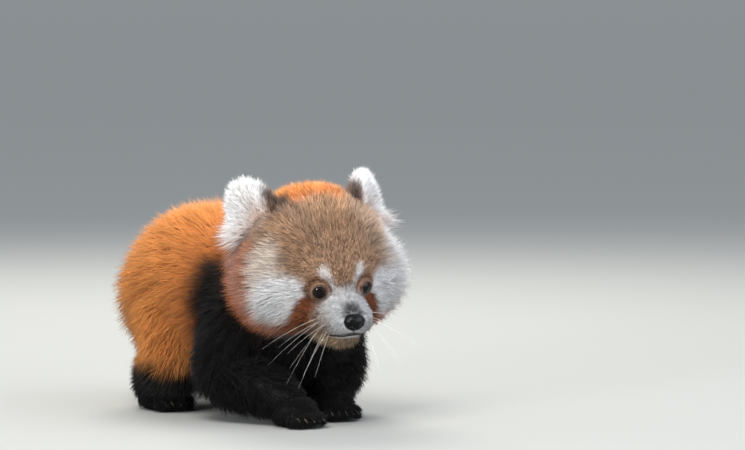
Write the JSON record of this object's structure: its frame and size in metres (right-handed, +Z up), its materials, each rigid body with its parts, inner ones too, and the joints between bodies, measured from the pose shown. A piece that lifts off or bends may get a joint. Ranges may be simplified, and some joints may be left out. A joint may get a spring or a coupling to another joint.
{
  "type": "red panda",
  "caption": "Young red panda, life-size and still, crouched on all four feet with its head low and turned, ringed tail laid on the floor.",
  "frame": {"origin": "on the floor, under the middle of the model's box", "axes": "+Z up, the cub's body faces -Y, and +X is on its left side"},
  "size_m": [0.2024, 0.298, 0.1646],
  "materials": {
    "coat_rust": "long woolly hair, orange-rust on the back and flanks, darker at the roots",
    "coat_sable": "long soft black-brown hair with greyer tips",
    "coat_head": "grizzled buff-brown hair with white cheeks, brows and muzzle and rust tear marks",
    "coat_ear": "soft white hair, dark brown on the back",
    "coat_tail": "bushy hair in rust and buff rings, dark tip",
    "nose_leather": "bare black skin, moist and finely pebbled",
    "eye": "wet and glossy, near black with a dark brown iris"
  },
  "bodies": {
    "root": {"eye_right": "eye", "ear_right": "coat_ear", "forepaw_right": "coat_sable", "foreleg_right": "coat_sable", "hindpaw_right": "coat_sable", "hindleg_right": "coat_sable", "eye_left": "eye", "ear_left": "coat_ear", "forepaw_left": "coat_sable", "foreleg_left": "coat_sable", "hindpaw_left": "coat_sable", "hindleg_left": "coat_sable", "head": "coat_head", "nose": "nose_leather", "torso": "coat_rust", "neck": "coat_sable", "tail_root": "coat_tail", "tail_middle": "coat_tail", "tail_tip": "coat_tail"}
  },
  "joints": []
}
